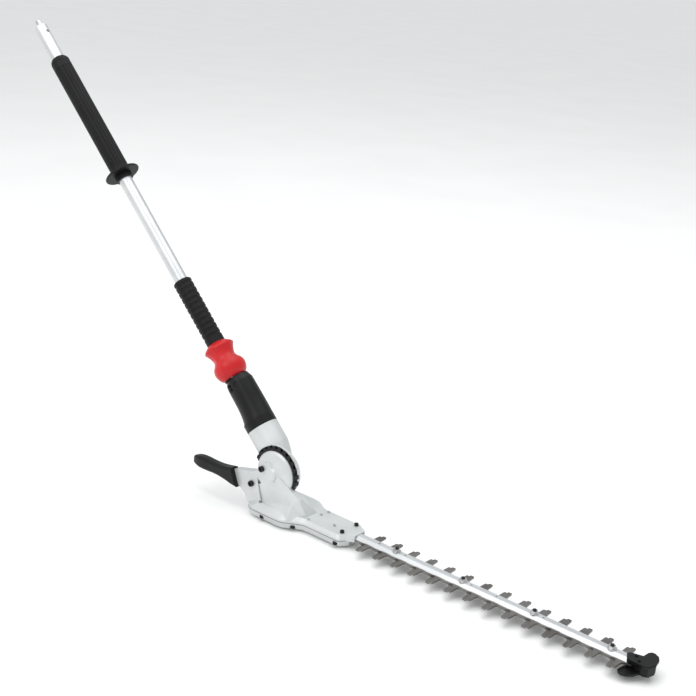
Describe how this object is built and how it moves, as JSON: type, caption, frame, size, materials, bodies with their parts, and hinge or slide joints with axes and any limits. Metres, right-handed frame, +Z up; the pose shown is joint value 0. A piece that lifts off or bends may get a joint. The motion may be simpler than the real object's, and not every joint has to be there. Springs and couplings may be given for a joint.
{
  "type": "pole hedge trimmer",
  "caption": "Pole hedge trimmer attachment: tube with two grips, folding gear head with side handle, and a double-sided reciprocating cutter.",
  "frame": {"origin": "centre of the tube's open end, where the power head clamps it", "axes": "+X along the cutter towards its tip, +Y across the cutter away from the handle, +Z up; the tube runs down from the origin at 45 degrees"},
  "size_m": [1.3765, 0.104, 0.7561],
  "materials": {
    "tube": "clear anodised, satin",
    "cast": "silver paint on die casting, satin",
    "grip_rubber": "satin",
    "black_plastic": "satin",
    "red_plastic": "glossy",
    "blade_steel": "ground",
    "steel": "machined",
    "black_steel": "black oxide",
    "bronze": "sintered",
    "gasket": "matt"
  },
  "bodies": {
    "pole": {"pole_tube": "tube", "upper_grip": "grip_rubber", "hand_guard": "grip_rubber", "lower_grip": "grip_rubber", "shaft_bushings": "bronze", "lock_housing": "black_plastic", "lock_housing_screws": "black_steel", "pole_gear_case": "cast", "pivot_cap": "cast", "shaft_bearing": "steel"},
    "release": {"release_sleeve": "red_plastic", "lock_pawl": "steel"},
    "drive_line": {"drive_shaft": "steel", "drive_pinion": "steel"},
    "cross_line": {"cross_shaft": "steel", "cross_gear": "steel", "transfer_bevel": "steel"},
    "head": {"gear_case": "cast", "case_gasket": "gasket", "bottom_cover": "cast", "cover_screws": "black_steel", "lock_ring": "black_steel", "handle_grip": "black_plastic", "handle_bolts": "black_steel", "case_screws": "steel", "clamp_bolts": "black_steel", "guide_bar": "tube", "blade_bolts": "black_steel", "blade_nuts": "steel", "blade_sleeves": "steel", "tip_guard": "black_plastic", "tip_guard_screws": "black_steel", "crank_bearings": "steel"},
    "transfer_line": {"transfer_shaft": "steel", "transfer_gear_upper": "steel", "transfer_gear_lower": "steel"},
    "down_line": {"down_shaft": "steel", "down_bevel": "steel", "down_pinion": "steel"},
    "crank": {"crank_gear": "steel", "crank_shaft": "steel", "eccentric_upper": "steel", "eccentric_lower": "steel"},
    "rod_upper": {"connecting_rod_upper": "steel"},
    "rod_lower": {"connecting_rod_lower": "steel"},
    "upper_cutter": {"upper_blade": "blade_steel"},
    "lower_cutter": {"lower_blade": "blade_steel"}
  },
  "joints": [
    {"name": "release_slide", "type": "slide", "parent": "pole", "child": "release", "axis": [-0.7071, 0, 0.7071], "range_m": [0, 0.01], "stiffness_N_per_m": 800, "springref_m": -0.02},
    {"name": "drive_spin", "type": "hinge", "parent": "pole", "child": "drive_line", "pos_m": [0.66341, 0, -0.66341], "axis": [-0.7071, 0, 0.7071], "continuous": true},
    {"name": "cross_spin", "type": "hinge", "parent": "pole", "child": "cross_line", "pos_m": [0.66341, 0, -0.66341], "axis": [0, 1, 0], "continuous": true},
    {"name": "head_tilt", "type": "hinge", "parent": "pole", "child": "head", "pos_m": [0.66341, 0, -0.66341], "axis": [0, 1, 0], "range_deg": [-135, 30]},
    {"name": "transfer_spin", "type": "hinge", "parent": "head", "child": "transfer_line", "pos_m": [0.66341, -0.031, -0.66341], "axis": [-0.7826, 0, -0.6225], "continuous": true},
    {"name": "down_spin", "type": "hinge", "parent": "head", "child": "down_line", "pos_m": [0.63367, -0.031, -0.68706], "axis": [0, 0, 1], "continuous": true},
    {"name": "crank_spin", "type": "hinge", "parent": "head", "child": "crank", "pos_m": [0.65122, 0, -0.73041], "axis": [0, 0, 1], "continuous": true},
    {"name": "rod_upper_swing", "type": "hinge", "parent": "crank", "child": "rod_upper", "pos_m": [0.65472, 0.00802, -0.72591], "axis": [0, 0, 1], "continuous": true},
    {"name": "rod_lower_swing", "type": "hinge", "parent": "crank", "child": "rod_lower", "pos_m": [0.64772, -0.00802, -0.73491], "axis": [0, 0, 1], "continuous": true},
    {"name": "upper_blade_slide", "type": "slide", "parent": "head", "child": "upper_cutter", "axis": [1, 0, 0], "range_m": [-0.01225, 0.00525]},
    {"name": "lower_blade_slide", "type": "slide", "parent": "head", "child": "lower_cutter", "axis": [1, 0, 0], "range_m": [-0.00525, 0.01225]}
  ],
  "couplings": [
    {"joint": "cross_spin", "follows": "drive_spin", "ratio": 1},
    {"joint": "transfer_spin", "follows": "drive_spin", "ratio": 1},
    {"joint": "down_spin", "follows": "drive_spin", "ratio": -1},
    {"joint": "crank_spin", "follows": "drive_spin", "ratio": 0.26667},
    {"joint": "rod_upper_swing", "follows": "drive_spin", "ratio": -0.26667},
    {"joint": "rod_lower_swing", "follows": "drive_spin", "ratio": -0.26667},
    {"joint": "lower_blade_slide", "follows": "upper_blade_slide", "ratio": -1}
  ]
}
